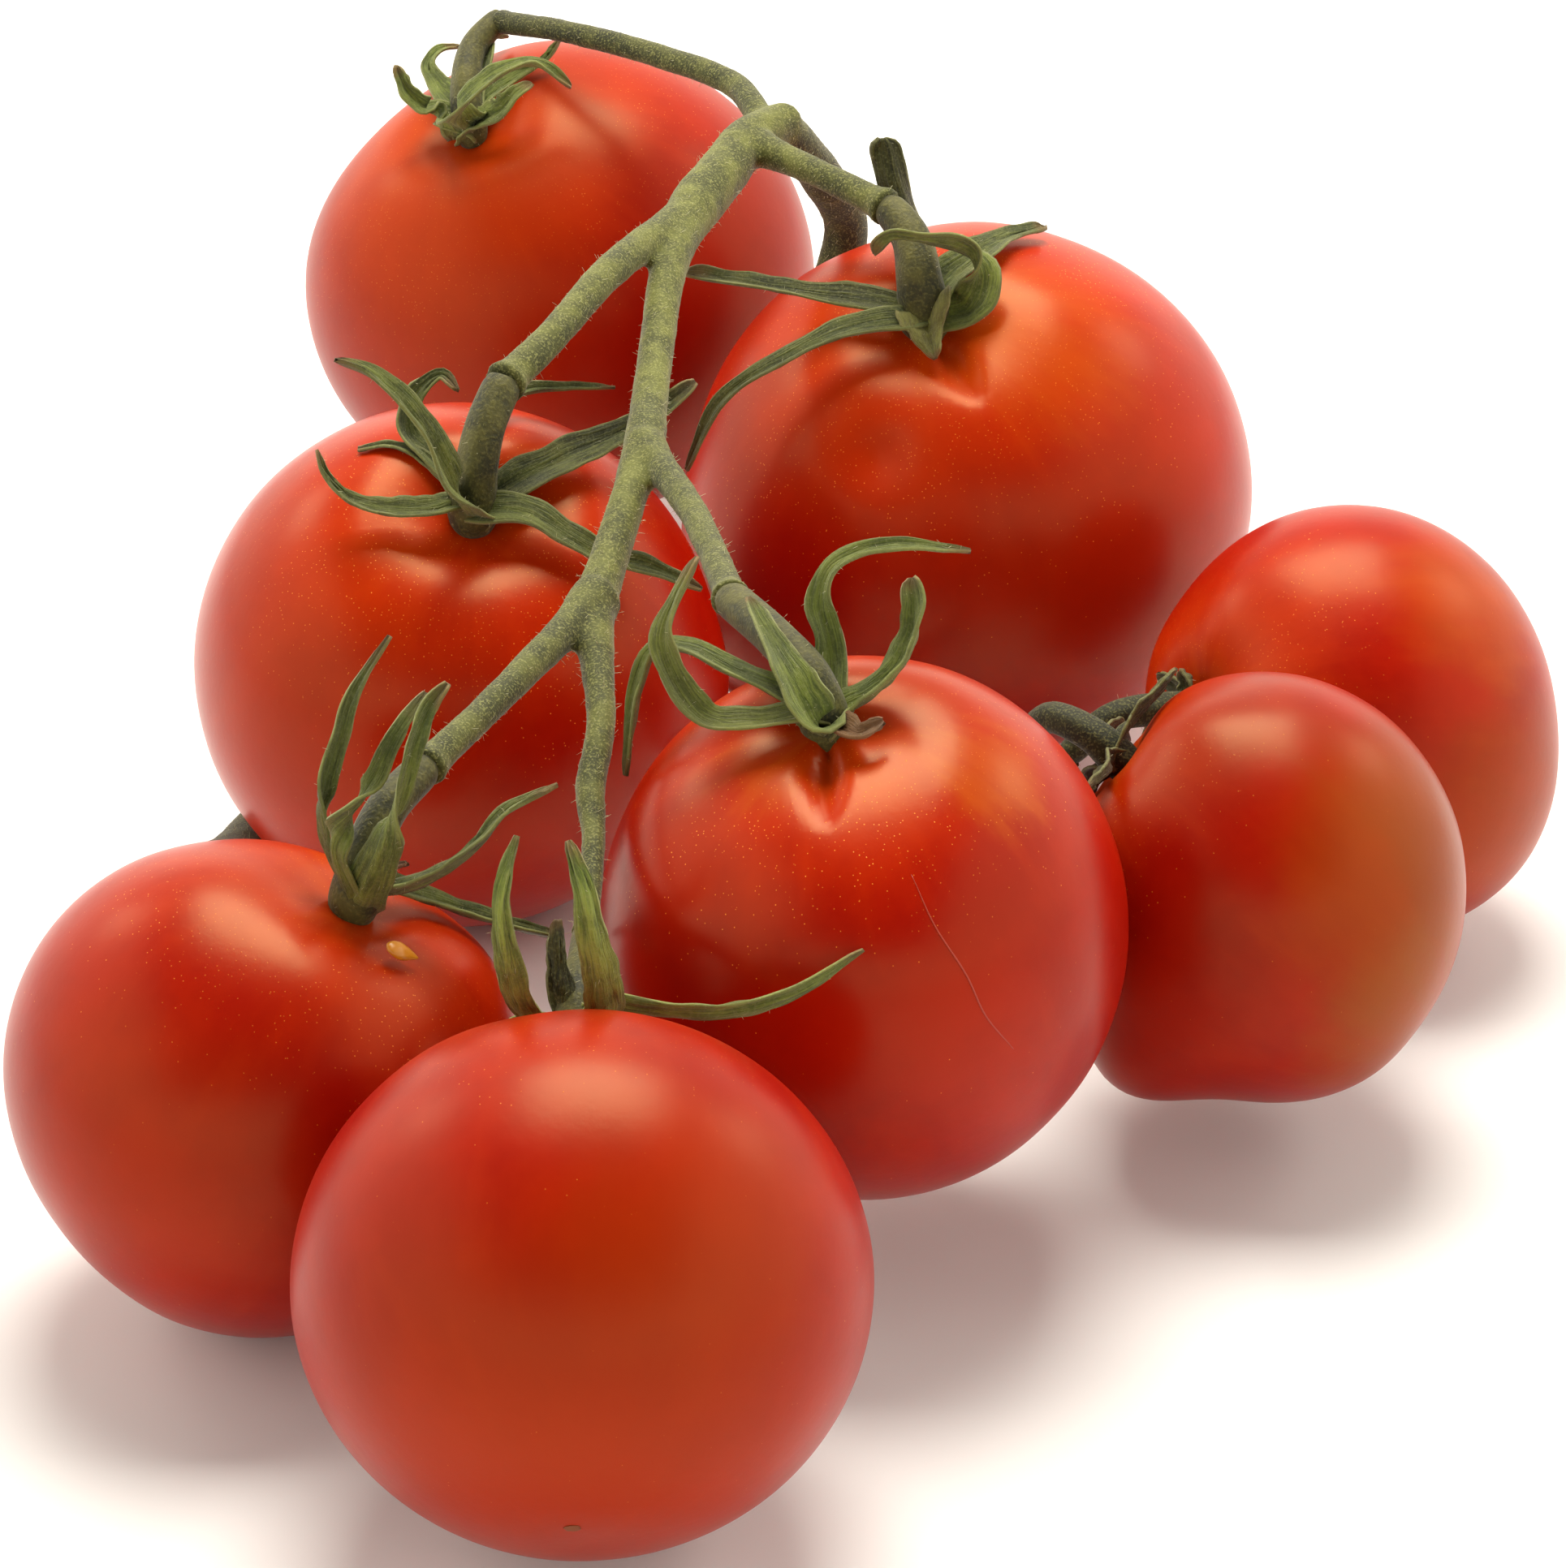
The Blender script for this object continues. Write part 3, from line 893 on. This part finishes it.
def leaf_material(group):
    """Drying sepals: lengthwise veins, pale margins, brown roots and tips."""
    material, n, surface = new_material("sepal_green", Roughness=0.55, IOR=1.4, Sheen_Weight=0.12)
    sideways, along = n.attribute("across"), n.attribute("along")
    tone, dry = n.attribute("tone"), n.attribute("dry")
    down = n.placed(group, n.spot(), Scale=2800.0)
    stretched = {0: n.maths("MULTIPLY", sideways, 4.5), 1: n.maths("MULTIPLY", along, 2.2),
                 2: n.maths("MULTIPLY", tone, 9.0)}
    veined = n.add("ShaderNodeCombineXYZ", stretched)
    veins = n.noise(veined.outputs[0], 2.2, 4.0, 0.65)
    dark = n.mix(tone, colour(24, 28, 6), colour(86, 102, 34))
    light = n.mix(tone, colour(66, 68, 20), colour(134, 150, 60))
    patchy = n.maths("MULTIPLY", down.outputs["Patches"], 0.4)
    blend = n.maths("ADD", n.maths("MULTIPLY", veins, 0.6), patchy)
    green = n.mix(n.ramp(blend, 0.4, 0.6), dark, light)
    green = n.mix(n.maths("MULTIPLY", down.outputs["Pale"], 0.22), green, colour(150, 152, 100))
    green = n.mix(n.ramp(down.outputs["Patches"], 0.55, 0.75, 0.0, 0.16), green, colour(96, 84, 38))
    margin = n.ramp(n.maths("ABSOLUTE", sideways), 0.82, 0.98, 0.0, 0.5)
    green = n.mix(margin, green, colour(120, 122, 72))
    wander = n.maths("MULTIPLY", n.maths("SUBTRACT", down.outputs["Patches"], 0.5), 0.3)
    tip = n.ramp(n.maths("ADD", along, wander), 0.88, 1.0, 0.0, 0.8)
    green = n.mix(tip, green, colour(112, 84, 46))
    root = n.ramp(along, 0.0, 0.1, 0.4, 0.0)
    green = n.mix(root, green, colour(92, 58, 28))
    brown = n.mix(veins, colour(70, 34, 16), colour(136, 88, 50))
    green = n.mix(dry, green, brown)
    relief = n.maths("ADD", veins, n.maths("MULTIPLY", down.outputs["Height"], 0.18))
    n.finish(surface, green, relief, 0.8, 0.0005)
    return material


# Studio


def studio():
    """The photograph's camera, a white table, and soft light from above and all round."""
    scene = bpy.context.scene
    scene.view_settings.view_transform = "Standard"
    camera = bpy.data.objects.new("camera", bpy.data.cameras.new("camera"))
    scene.collection.objects.link(camera)
    camera.location = CAMERA_AT
    camera.rotation_euler = (math.pi / 2 - CAMERA_DOWN, 0, 0)
    camera.data.sensor_width = SENSOR
    camera.data.lens = SENSOR * FOCAL_PX / PHOTO_HEIGHT_PX
    camera.data.clip_start = 0.01
    scene.camera = camera

    floor_bm = bmesh.new()
    bmesh.ops.create_grid(floor_bm, x_segments=1, y_segments=1, size=TABLE_HALF)
    white, _, _ = new_material("table_white", Base_Color=(0.87, 0.9, 1.0, 1.0), Roughness=0.6)
    floor = new_piece("table", floor_bm, white)

    for name, values in LAMPS.items():
        lamp(name, *values)
    white_room()


def white_room():
    """Light from all round: bright at the sides and low down, half bright behind, dim elsewhere."""
    world = bpy.data.worlds.new("white_room")
    bpy.context.scene.world = world
    world.use_nodes = True
    n = Nodes(world.node_tree)
    way = n.add("ShaderNodeTexCoord").outputs["Generated"]
    parts = n.add("ShaderNodeSeparateXYZ", {0: way}).outputs
    aside = n.ramp(n.maths("ABSOLUTE", parts["X"]), 0.42, 0.8)
    low = n.ramp(parts["Z"], 0.28, 0.5, 1.0, 0.0)
    behind = n.ramp(parts["Y"], 0.1, 0.5, 0.0, 0.5)
    lit = n.maths("MAXIMUM", n.maths("MAXIMUM", aside, low), behind)
    strength = n.ramp(lit, 0.0, 1.0, ROOM_DIM, ROOM_BRIGHT)
    backdrop = world.node_tree.nodes["Background"]
    backdrop.inputs["Color"].default_value = WARM_WHITE
    n.feed(backdrop.inputs["Strength"], strength)


def lamp(name, at, aim, size, watts):
    """A rectangular lamp that points at a place."""
    light = bpy.data.lights.new(name, "AREA")
    light.shape = "RECTANGLE"
    light.size, light.size_y = size
    light.energy = watts
    light.color = WARM_WHITE[:3]
    fixture = bpy.data.objects.new(name, light)
    bpy.context.scene.collection.objects.link(fixture)
    fixture.location = at
    fixture.rotation_euler = (Vector(at) - Vector(aim)).to_track_quat("Z", "Y").to_euler()


# Assembly


def fitted(piece, node):
    """A piece that takes the place of a solid and wears one of the part's finishes."""
    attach(piece, "root")
    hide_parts(node)


studio()
ripe_skin = ripe_skin_group()
downy = downy_group()
stem_green = stem_material(downy)
stalk_green = lower_stalk_material(downy)
leaf_green = leaf_material(downy)
hair_pale, _, _ = new_material("hair_pale", Base_Color=colour(186, 184, 150), Roughness=0.5)
seed_ochre, _, _ = new_material("seed_ochre", Base_Color=colour(190, 122, 22), Roughness=0.3)
scar_pale, _, _ = new_material("scar_pale", Base_Color=colour(160, 44, 20), Roughness=0.4)
scar_brown, _, _ = new_material("scar_brown", Base_Color=colour(120, 58, 22), Roughness=0.7)

stem = stem_piece(stem_green)
fitted(stem, "stem")
calyx_parts = []
for number, fruit in FRUITS.items():
    flesh = fruit_piece(number, fruit, skin_material(number, fruit, ripe_skin))
    fitted(flesh, f"tomato_{number}")
    stalk = stem_green if number in SHADED else stalk_green
    for piece in calyx_pieces(number, fruit, leaf_green, stalk):
        fitted(piece, f"calyx_{number}")
        calyx_parts.append(piece)

draw = random.Random(HAIR_SEED)
share = 1.0
extras = [
    down_piece("down_on_stem", [stem], int(STEM_HAIRS * share), STEM_HAIR_LONG, draw, hair_pale),
    down_piece("down_on_calyxes", calyx_parts, int(CALYX_HAIRS * share), CALYX_HAIR_LONG, draw, hair_pale),
    seed_piece(seed_ochre),
    scratch_piece(scar_pale),
    blossom_scars_piece(scar_brown),
]
for piece in extras:
    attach(piece, "root")
